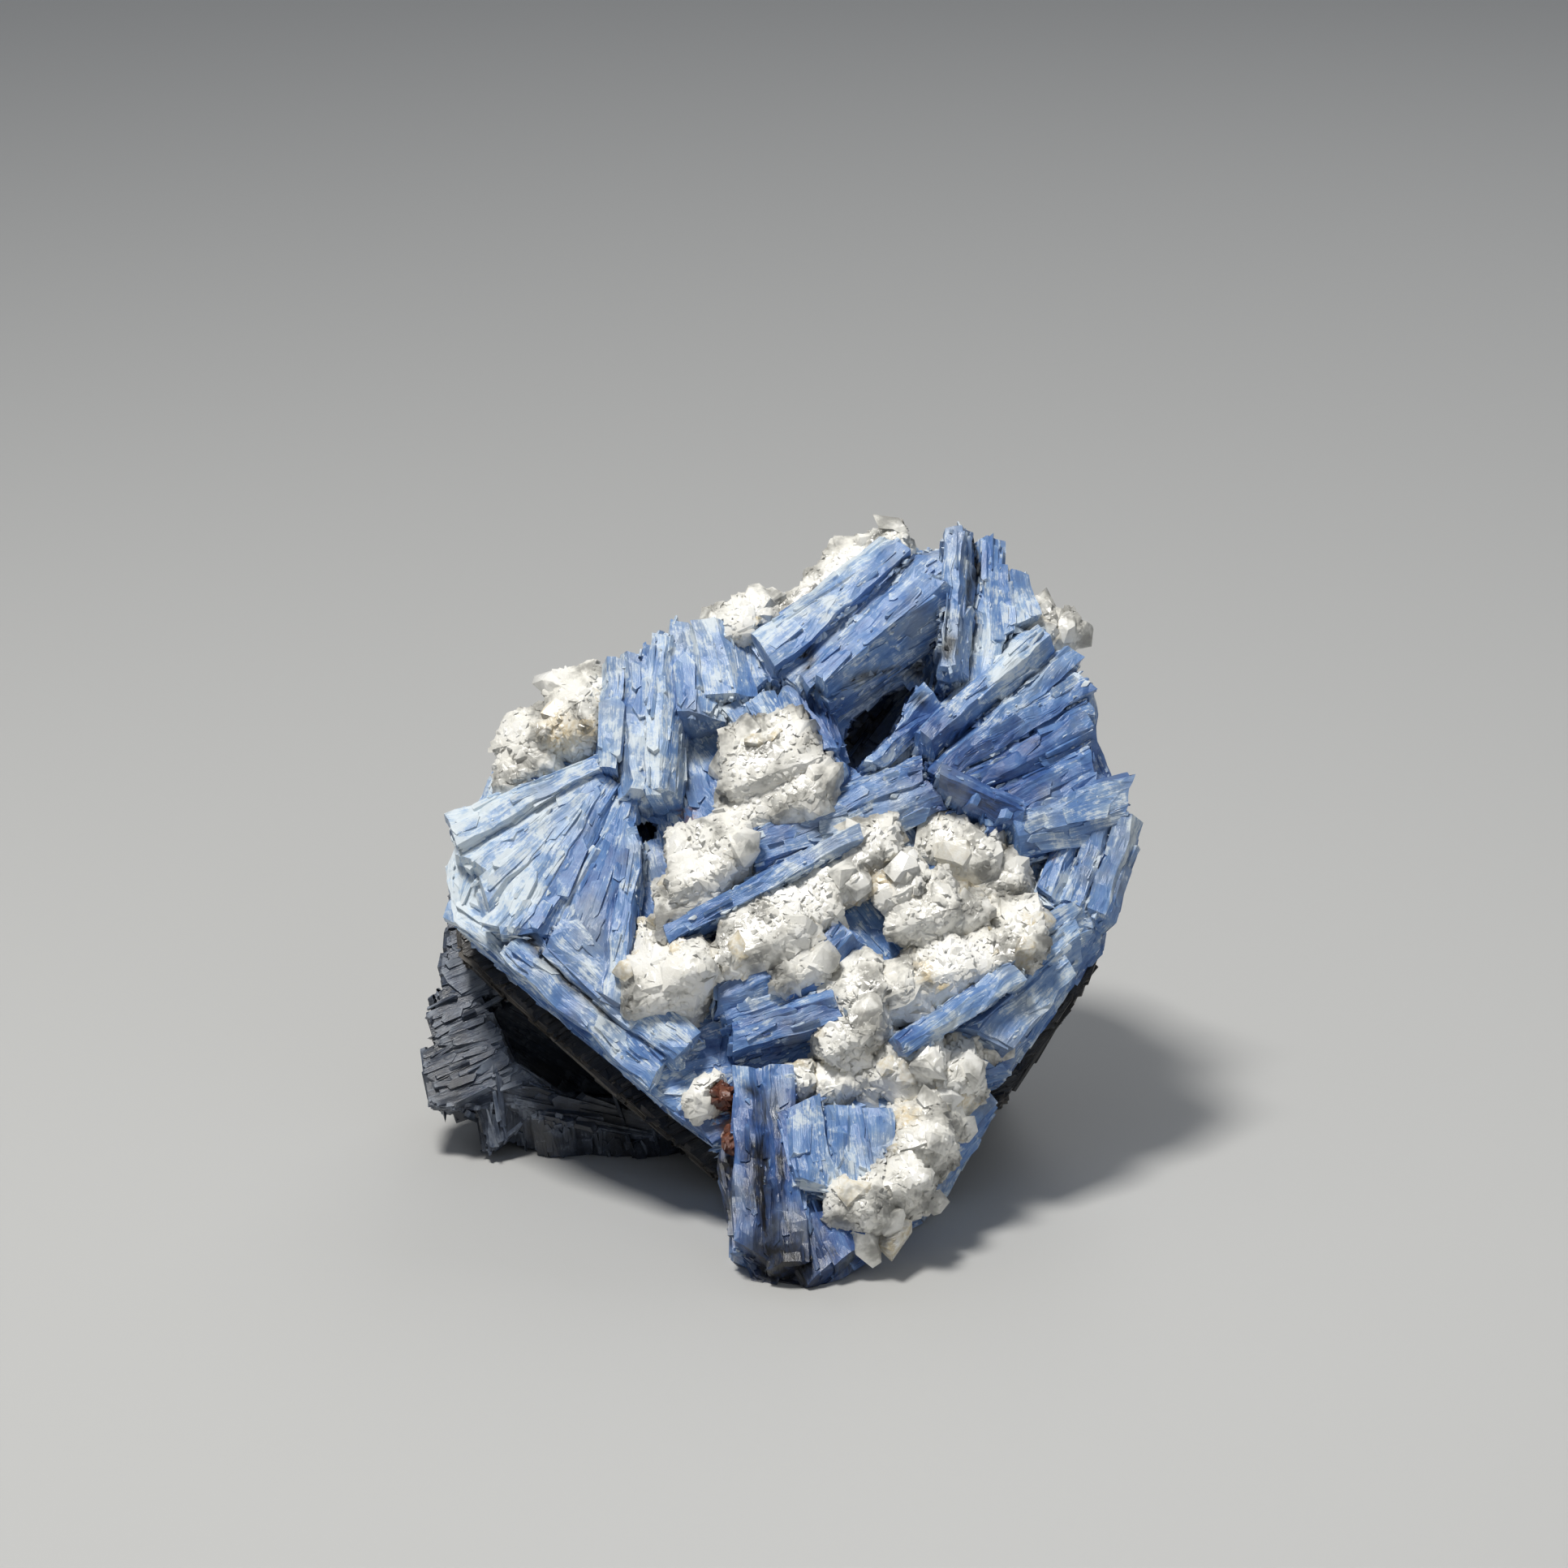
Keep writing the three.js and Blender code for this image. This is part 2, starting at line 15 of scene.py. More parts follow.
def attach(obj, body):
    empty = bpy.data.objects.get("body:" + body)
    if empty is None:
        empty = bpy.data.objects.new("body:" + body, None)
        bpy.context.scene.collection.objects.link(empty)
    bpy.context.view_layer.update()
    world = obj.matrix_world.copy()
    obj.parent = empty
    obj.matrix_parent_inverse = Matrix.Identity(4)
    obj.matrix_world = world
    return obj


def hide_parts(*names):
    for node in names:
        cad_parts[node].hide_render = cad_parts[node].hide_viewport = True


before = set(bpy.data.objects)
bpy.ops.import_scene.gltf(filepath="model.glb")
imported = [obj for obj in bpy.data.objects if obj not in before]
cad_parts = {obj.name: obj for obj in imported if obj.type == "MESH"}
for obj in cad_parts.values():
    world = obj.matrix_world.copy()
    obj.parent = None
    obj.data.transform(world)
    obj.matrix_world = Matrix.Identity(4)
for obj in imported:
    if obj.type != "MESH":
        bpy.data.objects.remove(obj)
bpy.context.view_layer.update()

MM = 0.001

# The noise starts from the same place in each run.
NOISE_SEED = 5
noise.seed_set(NOISE_SEED)

# The photograph's viewpoint.
EYE = np.array([0.56, -373.17, 160.0]) * MM
PITCH = math.radians(18.8)
FOCAL_PIXELS = 5925
PHOTO_PIXELS = 1932

QUARTZ_NODES = sorted(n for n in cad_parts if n.startswith("quartz"))
GARNET_NODES = sorted(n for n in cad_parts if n.startswith("garnet"))

# How far the dressed surfaces stand out from the solids.
SLAB_SWELL = 0.36 * MM
QUARTZ_SWELL = 0.2 * MM


# Reading the CAD solids.


def unit(vectors):
    return vectors / np.maximum(np.linalg.norm(vectors, axis=-1, keepdims=True), 1e-12)


def solid(node):
    """A CAD node's shared corners and its triangles."""
    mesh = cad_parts[node].data
    mesh.calc_loop_triangles()
    corners = np.empty(len(mesh.vertices) * 3)
    mesh.vertices.foreach_get("co", corners)
    triangles = np.empty(len(mesh.loop_triangles) * 3, np.int64)
    mesh.loop_triangles.foreach_get("vertices", triangles)
    shared, number = np.unique(np.round(corners.reshape(-1, 3), 7), axis=0, return_inverse=True)
    return shared, number.ravel()[triangles.reshape(-1, 3)]


def bvh_of(solids):
    """One search tree of several solids."""
    corners, triangles, first = [], [], 0
    for points, faces in solids:
        corners.append(points)
        triangles.append(faces + first)
        first += len(points)
    return BVHTree.FromPolygons(np.concatenate(corners).tolist(), np.concatenate(triangles).tolist())


SOLIDS = {node: solid(node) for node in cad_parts}
EVERYTHING = bvh_of(SOLIDS.values())


def seen_at(pixel):
    """The point of the CAD solids that the photograph shows at a pixel."""
    right, down = ((p - PHOTO_PIXELS / 2) / FOCAL_PIXELS for p in pixel)
    y = math.cos(PITCH) - down * math.sin(PITCH)
    z = -math.sin(PITCH) - down * math.cos(PITCH)
    hit = EVERYTHING.ray_cast(Vector(EYE), Vector((right, y, z)).normalized())[0]
    return np.array(hit)


class Facets:
    """The flat facets of a solid, each with its normal and the grain along its longest edges."""

    def __init__(self, corners, triangles):
        self.corners, self.triangles = corners, triangles
        a, b, c = (corners[triangles[:, i]] for i in range(3))
        cross = np.cross(b - a, c - a)
        self.area = np.linalg.norm(cross, axis=1) / 2
        self.normal = unit(cross)

        edges = np.concatenate([triangles[:, [0, 1]], triangles[:, [1, 2]], triangles[:, [2, 0]]])
        edges = np.sort(edges, axis=1)
        owner = np.tile(np.arange(len(triangles)), 3)
        order = np.lexsort((edges[:, 1], edges[:, 0]))
        edges, owner = edges[order], owner[order]
        shared = (edges[1:] == edges[:-1]).all(1)
        pairs = np.stack([owner[:-1][shared], owner[1:][shared]], 1)
        pair_edges = edges[:-1][shared]
        level = (self.normal[pairs[:, 0]] * self.normal[pairs[:, 1]]).sum(1) > math.cos(math.radians(2))

        self.facet = self.joined(len(triangles), pairs[level])
        self.count = self.facet.max() + 1
        self.facet_area = np.bincount(self.facet, self.area, self.count)
        self.facet_normal = np.zeros((self.count, 3))
        np.add.at(self.facet_normal, self.facet, self.normal * self.area[:, None])
        self.facet_normal = unit(self.facet_normal)
        self.middle = np.zeros((self.count, 3))
        np.add.at(self.middle, self.facet, (a + b + c) / 3 * self.area[:, None])
        self.middle /= np.maximum(self.facet_area, 1e-15)[:, None]

        spread = np.zeros((self.count, 3, 3))
        along = corners[pair_edges[~level, 1]] - corners[pair_edges[~level, 0]]
        for side in range(2):
            np.add.at(spread, self.facet[pairs[~level, side]], along[:, :, None] * along[:, None, :])
        strength, axes = np.linalg.eigh(spread)
        self.grain = self.settled(axes[:, :, 2], strength[:, 2] / np.maximum(strength[:, 1], 1e-15))
        self.across = np.cross(self.facet_normal, self.grain)
        rng = np.random.default_rng(self.count)
        self.shift = rng.random((self.count, 3)) * 50
        self.step = rng.normal(0, 0.06, self.count)

    @staticmethod
    def joined(count, pairs):
        """Numbers the groups that pairs of triangles make."""
        parent = list(range(count))

        def root(i):
            while parent[i] != i:
                parent[i] = parent[parent[i]]
                i = parent[i]
            return i

        for a, b in pairs:
            parent[root(a)] = root(b)
        return np.unique([root(i) for i in range(count)], return_inverse=True)[1].ravel()

    def settled(self, grain, clearness):
        """The grain in each facet's plane: a facet of no clear direction follows the nearest long one."""
        clear = (clearness > 5) & (self.facet_area > 1.5 * MM**2)
        if clear.any():
            for i in np.flatnonzero(~clear):
                distance = np.linalg.norm(self.middle[clear] - self.middle[i], axis=1)
                grain[i] = grain[clear][distance.argmin()]
        flat = grain - (grain * self.facet_normal).sum(1, keepdims=True) * self.facet_normal
        lost = np.linalg.norm(flat, axis=1) < 0.3
        flat[lost] = np.cross(self.facet_normal[lost], np.array([0.31, 0.62, 0.72]))
        return unit(flat)

    def grain_of(self, facet, points):
        """Places along, across and out of the grain of each point's facet, in millimetres."""
        axes = np.stack([self.grain, self.across, self.facet_normal], 1)[facet]
        return np.einsum("nij,nj->ni", axes, points) / MM + self.shift[facet]

    def sample(self, per_mm2, rng, room=0.9 * MM):
        """Random points of the surface that no other solid covers: the triangle of each, and its place."""
        count = int(self.area.sum() / MM**2 * per_mm2)
        pick = rng.choice(len(self.triangles), count, p=self.area / self.area.sum())
        u, v = rng.random((2, count, 1))
        fold = (u + v) > 1
        u, v = np.where(fold, 1 - u, u), np.where(fold, 1 - v, v)
        a, b, c = (self.corners[self.triangles[pick, i]] for i in range(3))
        points = a + u * (b - a) + v * (c - a)
        free = (clearance(points, self.normal[pick], room) >= room) & (points[:, 2] > 0.1 * MM)
        return pick[free], points[free]


def clearance(points, directions, reach):
    """How far each point sees along its direction before it meets a solid."""
    found = np.full(len(points), reach)
    for i, (point, direction) in enumerate(zip(points, directions)):
        distance = EVERYTHING.ray_cast(Vector(point + direction * 0.03 * MM), Vector(direction), reach)[3]
        if distance is not None:
            found[i] = distance
    return found


def openness(points, normals, rng, rays=8, reach=4 * MM):
    """The share of the sky above each point that the solids leave open, from 0 to 1."""
    total = np.zeros(len(points))
    for _ in range(rays):
        directions = unit(normals + unit(rng.normal(size=points.shape)) * 0.98)
        total += clearance(points + normals * 0.25 * MM, directions, reach) / reach
    return total / rays


FACETS = {node: Facets(*SOLIDS[node]) for node in SOLIDS}


# Colour zones of the kyanite: pixel, radius in millimetres and tone, from deep blue at 0 to white at 1.
TONE_ZONES = {
    "left fan": ((619, 1053), 5, 0.68),
    "left fan foot": ((598, 1116), 4, 0.72),
    "left steep blades": ((703, 1106), 4, 0.40),
    "upper block": ((792, 875), 4, 0.53),
    "upper block foot": ((797, 960), 3, 0.60),
    "upper tangle": ((881, 800), 4, 0.58),
    "big upper blade": ((1102, 749), 4, 0.50),
    "big upper blade tail": ((980, 845), 3, 0.44),
    "pillar": ((1196, 710), 3, 0.48),
    "right fan top": ((1245, 835), 4, 0.66),
    "right fan": ((1210, 930), 4, 0.24),
    "right fan end": ((1315, 880), 3, 0.34),
    "right edge": ((1343, 1043), 4, 0.47),
    "cross blade": ((1060, 1000), 3, 0.56),
    "long blade": ((955, 1100), 2.5, 0.52),
    "lower right top": ((1301, 1145), 3, 0.60),
    "lower right": ((1290, 1200), 3, 0.58),
    "middle tablets": ((955, 1242), 4, 0.37),
    "rim": ((776, 1284), 3, 0.50),
    "tip patch": ((1045, 1425), 3.5, 0.54),
    # The tip zones are deep and dark, partly for the tip's own darker blades and partly as painted shade of its
    # underside.
    "tip bundle": ((935, 1430), 3.5, 0.2),
    "tip foot": ((985, 1560), 3.5, 0.14),
    "tip right": ((1112, 1494), 3, 0.22),
}
TONE_ELSEWHERE = 0.42

# Black mica in cracks of the kyanite: spots by pixel and radius, seams by the pixels they run through. The large
# spots at the tip also stand for painted shade of its underside.
BLACK_SPOTS = [
    ((1080, 890), 2.6), ((1050, 915), 1.6), ((795, 1022), 1.7), ((841, 969), 0.9), ((905, 1500), 3.2),
    ((895, 1440), 1.8), ((960, 1565), 3.4), ((940, 1480), 1.9), ((930, 1420), 1.2), ((985, 1560), 1.6),
    ((788, 1172), 0.8), ((1150, 842), 0.9), ((925, 1345), 0.7),
]
BLACK_SEAMS = [
    [(1012, 853), (1059, 830), (1087, 824), (1134, 828)],
    [(1192, 668), (1198, 687), (1209, 703), (1186, 720), (1190, 748), (1198, 770)],
    [(1172, 790), (1164, 806), (1148, 842), (1134, 864)],
    [(995, 803), (999, 822), (1003, 842)],
    [(930, 1440), (948, 1500), (944, 1550)],
    [(650, 1160), (700, 1210), (760, 1262)],
]
SEAM_WIDTH = 0.55 * MM

# Rust that has crept into the quartz and the kyanite: pixel and radius in millimetres.
QUARTZ_RUST_SPOTS = [
    ((1062, 1112), 1.8), ((1085, 1085), 1.2), ((1112, 1380), 1.4), ((690, 905), 1.6), ((720, 900), 1.2),
    ((1000, 1262), 1.0), ((846, 1005), 0.8), ((1108, 943), 0.5), ((900, 1375), 1.6), ((1140, 1200), 1.0),
    ((965, 780), 1.6), ((880, 930), 1.2),
]
KYANITE_RUST_SPOTS = [((846, 1005), 0.8), ((1108, 943), 0.4), ((900, 1375), 1.4), ((1298, 1058), 0.4)]


def zone_tone(points):
    """The kyanite's tone at each point, blended from the zones around it."""
    total, weights = np.full(len(points), TONE_ELSEWHERE * 0.05), np.full(len(points), 0.05)
    for pixel, radius, tone in TONE_ZONES.values():
        weight = np.exp(-(((points - seen_at(pixel)) ** 2).sum(1)) / (radius * MM) ** 2)
        total += weight * tone
        weights += weight
    return total / weights


def spots(points, places):
    """From 1 in the middle of a spot to 0 outside all of them."""
    strongest = np.zeros(len(points))
    for pixel, radius in places:
        distance = np.linalg.norm(points - seen_at(pixel), axis=1) / (radius * MM)
        strongest = np.maximum(strongest, np.clip(1.6 - distance * 1.1, 0, 1))
    return strongest


def blackness(points):
    """How black each point is painted, from 0 to 1: black mica, and at the tip also painted shade."""
    strongest = spots(points, BLACK_SPOTS)
    for seam in BLACK_SEAMS:
        places = [seen_at(pixel) for pixel in seam]
        for start, end in zip(places, places[1:]):
            along = end - start
            share = np.clip((points - start) @ along / (along @ along), 0, 1)
            distance = np.linalg.norm(points - start - share[:, None] * along, axis=1)
            strongest = np.maximum(strongest, np.clip(1.6 - distance / SEAM_WIDTH, 0, 1))
    return strongest


# Building meshes.


class Bundle:
    """Corners, faces and surface values that are gathered into one mesh."""

    VALUES = ("tone", "end", "open", "black", "rust")

    def __init__(self):
        self.corners, self.faces, self.grain = [], [], []
        self.values = {name: [] for name in self.VALUES}
        self.count = 0

    def add(self, corners, faces, grain, **values):
        self.corners.append(corners)
        self.grain.append(grain)
        self.faces += [[corner + self.count for corner in face] for face in faces]
        self.count += len(corners)
        for name in self.VALUES:
            self.values[name].append(np.broadcast_to(values.get(name, 0.0), len(corners)))

    def mesh(self, name):
        corners = np.concatenate(self.corners)
        corners[:, 2] = np.maximum(corners[:, 2], 0.01 * MM)
        mesh = bpy.data.meshes.new(name)
        mesh.from_pydata(corners.tolist(), [], self.faces)
        for value, parts in self.values.items():
            layer = mesh.attributes.new(value, "FLOAT", "POINT")
            layer.data.foreach_set("value", np.concatenate(parts).astype(np.float32))
        layer = mesh.attributes.new("grain", "FLOAT_VECTOR", "POINT")
        layer.data.foreach_set("vector", np.concatenate(self.grain).astype(np.float32).ravel())
        return mesh


def outward_at(facets, points, blur=1.5 * MM):
    """The solid's outward direction at each point, blurred over its facets."""
    middles = facets.corners[facets.triangles].mean(1)
    outward = []
    for some in np.array_split(points, len(points) // 2000 + 1):
        distance = ((some[:, None] - middles) ** 2).sum(2)
        weight = facets.area * np.exp(-(distance - distance.min(1, keepdims=True)) / blur**2)
        outward.append(unit(weight @ facets.normal))
    return np.concatenate(outward)


def add_piece(name, mesh, material, nodes):
    """A finished piece of the cluster, shown instead of its CAD nodes."""
    piece = bpy.data.objects.new(name, mesh)
    bpy.context.scene.collection.objects.link(piece)
    mesh.materials.append(material)
    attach(piece, "root")
    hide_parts(*nodes)


def uneven(points, amount):
    """Points moved by smooth noise of their place, by up to about amount millimetres."""
    moved = points.copy()
    for wave, share in ((3.1, 1.0), (1.1, 0.5), (0.5, 0.25)):
        for i, point in enumerate(points):
            moved[i] += np.array(noise.noise_vector(Vector(point) / (wave * MM))) * amount * share * MM
    return moved


def refined(facets, swell, longest):
    """The surface moved outwards by swell, no edge over longest: its corners, triangles and facets."""
    outward = np.zeros_like(facets.corners)
    for i in range(3):
        np.add.at(outward, facets.triangles[:, i], facets.normal * facets.area[:, None])
    points, triangles, facet = facets.corners + unit(outward) * swell, facets.triangles, facets.facet
    while True:
        edges = np.sort(np.stack([triangles, np.roll(triangles, -1, 1)], 2), axis=2)
        long = np.linalg.norm(points[edges[..., 0]] - points[edges[..., 1]], axis=2) > longest
        if not long.any():
            return points, triangles, facet
        pairs, number = np.unique(edges[long], axis=0, return_inverse=True)
        halfway = np.full(long.shape, -1)
        halfway[long] = len(points) + number.ravel()
        points = np.concatenate([points, points[pairs].mean(1)])

        cuts = long.sum(1)
        first = np.where(cuts == 1, long.argmax(1), np.where(cuts == 2, (long.argmin(1) + 1) % 3, 0))
        order = (np.arange(3) + first[:, None]) % 3
        corner = np.take_along_axis(triangles, order, 1)
        corner = np.concatenate([corner, np.take_along_axis(halfway, order, 1)], 1)
        kept = [(corner[cuts == n][:, piece], facet[cuts == n]) for n in SPLITS for piece in SPLITS[n]]
        triangles = np.concatenate([piece for piece, _ in kept])
        facet = np.concatenate([number for _, number in kept])


# By the number of long edges: how corners 0, 1 and 2 of a triangle and the middles 3, 4 and 5 of its edges
# make smaller triangles.
SPLITS = {
    0: [[0, 1, 2]],
    1: [[0, 3, 2], [3, 1, 2]],
    2: [[3, 1, 4], [0, 3, 4], [0, 4, 2]],
    3: [[0, 3, 5], [3, 1, 4], [5, 4, 2], [3, 4, 5]],
}


def add_body(
    bundle, facets, rng, tone, swell=0.0, longest=1.6 * MM, rough=0.2, rusty=KYANITE_RUST_SPOTS,
):
    """The CAD facets themselves, each with its own tone and grain, made finer and a little uneven."""
    points, triangles, facet = refined(facets, swell, longest)
    places = points[triangles].reshape(-1, 3)
    facet = np.repeat(facet, 3)
    lit = openness(places.reshape(-1, 3, 3).mean(1), facets.facet_normal[facet[::3]], rng, rays=5)
    bundle.add(
        uneven(points, rough)[triangles].reshape(-1, 3),
        np.arange(len(places)).reshape(-1, 3).tolist(),
        facets.grain_of(facet, places),
        tone=tone(places) + facets.step[facet],
        open=np.repeat(lit, 3),
        black=blackness(places),
        rust=spots(places, rusty),
    )


# A flake's faces: its top, then its six sides.
FLAKE_FACES = [[6, 7, 8, 9, 10, 11]] + [[i, (i + 1) % 6, (i + 1) % 6 + 6, i + 6] for i in range(6)]


# How far above a point the look for the solid under it starts, and how far below the point it ends.
LOOK_FROM = 0.6 * MM
LOOK_UNDER = 0.5 * MM

# How deep a flake is rooted under the surface.
FLAKE_ROOT = 0.3 * MM


def lies_on_solid(points, normals):
    """Whether the solids are right under each point."""
    starts = points + normals * LOOK_FROM
    hits = [EVERYTHING.ray_cast(Vector(p), Vector(-n), LOOK_FROM + LOOK_UNDER)[0] for p, n in zip(starts, normals)]
    return np.array([hit is not None for hit in hits])


def add_flakes(bundle, facets, rng, tone, per_mm2, length, width, height, lean=1.5, over=0.3, lift=0.0):
    """Cleaved flakes with ragged ends along the grain: sizes are medians in millimetres, lean in degrees."""
    pick, points = facets.sample(per_mm2, rng)
    normal, facet = facets.normal[pick], facets.facet[pick]
    count = len(points)
    yaw = np.radians(rng.normal(0, 5, (count, 1)))
    pitch = np.radians(rng.normal(0, lean, (count, 1)))
    along = np.cos(yaw) * facets.grain[facet] + np.sin(yaw) * facets.across[facet]
    along = unit(along * np.cos(pitch) + normal * np.sin(pitch))
    across = np.cross(normal, along)

    long = length * MM * rng.lognormal(0, 0.45, count)
    share = rng.uniform(0.3, 0.7, count)
    reach = np.stack([long * share, long * (1 - share)])
    for end, sign in enumerate((-1, 1)):
        for _ in range(5):
            stray = ~lies_on_solid(points + sign * reach[end][:, None] * along, normal)
            stray |= ~lies_on_solid(points + sign * 0.5 * reach[end][:, None] * along, normal)
            reach[end][stray] *= 0.6
    reach += over * MM * rng.random((2, count))
    half = np.minimum(width * MM * rng.lognormal(0, 0.45, count), 0.6 * reach.sum(0)) / 2
    for _ in range(3):
        stray = ~lies_on_solid(points + half[:, None] * across, normal)
        stray |= ~lies_on_solid(points - half[:, None] * across, normal)
        half[stray] *= 0.6
    top = lift + height * MM * rng.lognormal(0, 0.5, count)

    ragged = np.abs(rng.normal(0, 0.7, (4, count))) * half
    narrow = rng.uniform(0.5, 1, (4, count)) * half
    nose = rng.uniform(-0.5, 0.5, (2, count)) * half
    back, ahead = -reach[0], reach[1]
    u = np.stack([back + ragged[0], ahead - ragged[1], ahead, ahead - ragged[2], back + ragged[3], back], 1)
    v = np.stack([-narrow[0], -narrow[1], nose[0], narrow[2], narrow[3], nose[1]], 1)
    slope = rng.normal(0, 0.25, (2, count, 1))
    tilt = slope[0] * u / reach.max(0)[:, None] + slope[1] * v / half[:, None]
    w = top[:, None] * np.clip(1 + tilt, 0.4, 1.6)
    frame_axes = [axis[:, None, :] for axis in (along, across, normal)]
    rings = []
    for spread, depth in ((1.06, np.full_like(w, -FLAKE_ROOT)), (0.97, w)):
        parts = (u * spread, v * spread, depth)
        moved = sum(part[:, :, None] * axis for part, axis in zip(parts, frame_axes))
        rings.append(points[:, None, :] + moved)
    corners = uneven(np.concatenate(rings, 1).reshape(-1, 3), 0.2)

    faces = [[corner + 12 * i for corner in face] for i in range(count) for face in FLAKE_FACES]
    flake_tone = tone(points) + facets.step[facet] + rng.normal(0, 0.03, count)
    bundle.add(
        corners, faces, facets.grain_of(np.repeat(facet, 12), corners),
        tone=np.repeat(flake_tone, 12),
        end=np.tile([-1, 1, 1, 1, -1, -1], 2 * count),
        open=np.repeat(openness(points, normal, rng), 12),
        black=blackness(corners),
        rust=np.repeat(spots(points, KYANITE_RUST_SPOTS), 12),
    )


def crystal_templates(rng, points, count=24):
    """Angular lumps of about unit radius, as corners and triangles."""
    made = []
    for _ in range(count):
        bm = bmesh.new()
        for place in unit(rng.normal(size=(points, 3))) * rng.uniform(0.75, 1.1, (points, 1)):
            bm.verts.new(place)
        bmesh.ops.convex_hull(bm, input=bm.verts)
        bmesh.ops.delete(bm, geom=[v for v in bm.verts if not v.link_faces], context="VERTS")
        bm.verts.index_update()
        made.append((np.array([v.co for v in bm.verts]), [[v.index for v in f.verts] for f in bm.faces]))
        bm.free()
    return made


def random_turns(rng, count):
    """Random rotation matrices."""
    w, x, y, z = unit(rng.normal(size=(count, 4))).T
    rows = [
        [1 - 2 * (y * y + z * z), 2 * (x * y - z * w), 2 * (x * z + y * w)],
        [2 * (x * y + z * w), 1 - 2 * (x * x + z * z), 2 * (y * z - x * w)],
        [2 * (x * z - y * w), 2 * (y * z + x * w), 1 - 2 * (x * x + y * y)],
    ]
    return np.array(rows).transpose(2, 0, 1)


def add_chips(
    bundle, facets, rng, templates, tone, per_mm2, size, limits, sink=0.35, along_grain=False, patch=None,
    lift=0.0, closed=1.0,
):
    """Angular chips seated in the surface: median size and its limits in millimetres.

    They are sunk by a share of their size, and kept to patches of noise and to places no opener than closed.
    """
    pick, points = facets.sample(per_mm2, rng, room=0.4 * MM)
    if patch is not None:
        kept = np.array([noise.noise(Vector(p) / (2.2 * MM)) for p in points]) > patch
        pick, points = pick[kept], points[kept]
    lit = openness(points, facets.normal[pick], rng, rays=6)
    pick, points, lit = pick[lit <= closed], points[lit <= closed], lit[lit <= closed]
    normal, facet = facets.normal[pick], facets.facet[pick]
    count = len(points)
    radius = np.clip(size * rng.lognormal(0, 0.5, count), *limits) * MM
    turns = random_turns(rng, count)
    if along_grain:
        stretch = rng.uniform((1.0, 0.5, 0.35), (2.4, 0.9, 0.7), (count, 3))
        seat = np.stack([facets.grain[facet], facets.across[facet], normal], 2)
    else:
        stretch = rng.uniform(0.75, 1.3, (count, 3))
        seat = turns
    chip_tone = tone(points) + rng.normal(0, 0.12, count)
    black, rust = blackness(points), spots(points, KYANITE_RUST_SPOTS if along_grain else QUARTZ_RUST_SPOTS)
    for i, point in enumerate(points):
        shape, skin = templates[rng.integers(len(templates))]
        local = (shape @ turns[i].T if along_grain else shape) * stretch[i] * radius[i]
        place = point + normal[i] * (lift - radius[i] * sink)
        bundle.add(
            local @ seat[i].T + place, skin, local / MM + rng.random(3) * 90,
            tone=chip_tone[i], open=lit[i], black=black[i], rust=rust[i],
        )


# Materials.


class Shader:
    """A material's nodes, added one at a time."""

    def __init__(self, name):
        self.material = bpy.data.materials.new(name)
        self.material.use_nodes = True
        self.tree = self.material.node_tree
        self.tree.nodes.clear()
        self.surface = self.add("ShaderNodeBsdfPrincipled")
        output = self.add("ShaderNodeOutputMaterial")
        self.tree.links.new(self.surface.outputs[0], output.inputs["Surface"])

    def add(self, kind, inputs=None, **settings):
        node = self.tree.nodes.new(kind)
        for name, value in settings.items():
            setattr(node, name, value)
        for socket, value in (inputs or {}).items():
            self.set(node.inputs[socket], value)
        return node

    def set(self, socket, value):
        if isinstance(value, bpy.types.NodeSocket):
            self.tree.links.new(value, socket)
        else:
            socket.default_value = value

    def attribute(self, name):
        return self.add("ShaderNodeAttribute", attribute_name=name)

    def math(self, operation, a, b=0.0, c=0.0):
        return self.add("ShaderNodeMath", {0: a, 1: b, 2: c}, operation=operation).outputs[0]

    def stretched(self, vector, factors):
        return self.add("ShaderNodeVectorMath", {0: vector, 1: factors}, operation="MULTIPLY").outputs[0]

    def noise(self, vector, scale, detail=3.0, rough=0.55):
        inputs = {"Vector": vector, "Scale": scale, "Detail": detail, "Roughness": rough}
        return self.add("ShaderNodeTexNoise", inputs).outputs["Fac"]

    def place(self):
        return self.add("ShaderNodeTexCoord").outputs["Object"]

    def between(self, value, low, high):
        """From 0 at low to 1 at high, smoothly."""
        inputs = {"Value": value, "From Min": low, "From Max": high}
        return self.add("ShaderNodeMapRange", inputs, interpolation_type="SMOOTHSTEP").outputs["Result"]

    def ramp(self, value, stops):
        node = self.add("ShaderNodeValToRGB", {"Fac": value})
        elements = node.color_ramp.elements
        while len(elements) < len(stops):
            elements.new(0.5)
        for element, (position, color) in zip(elements, stops):
            element.position = position
            element.color = (*color, 1)
        return node.outputs["Color"]

    def blend(self, share, first, second, kind="MIX"):
        node = self.add("ShaderNodeMix", data_type="RGBA", blend_type=kind)
        self.set(node.inputs[0], share)
        for socket, value in ((node.inputs[6], first), (node.inputs[7], second)):
            self.set(socket, (*value, 1) if isinstance(value, tuple) else value)
        return node.outputs[2]

    def finish(self, **inputs):
        for name, value in inputs.items():
            self.set(self.surface.inputs[name.replace("_", " ")], value)
        return self.material


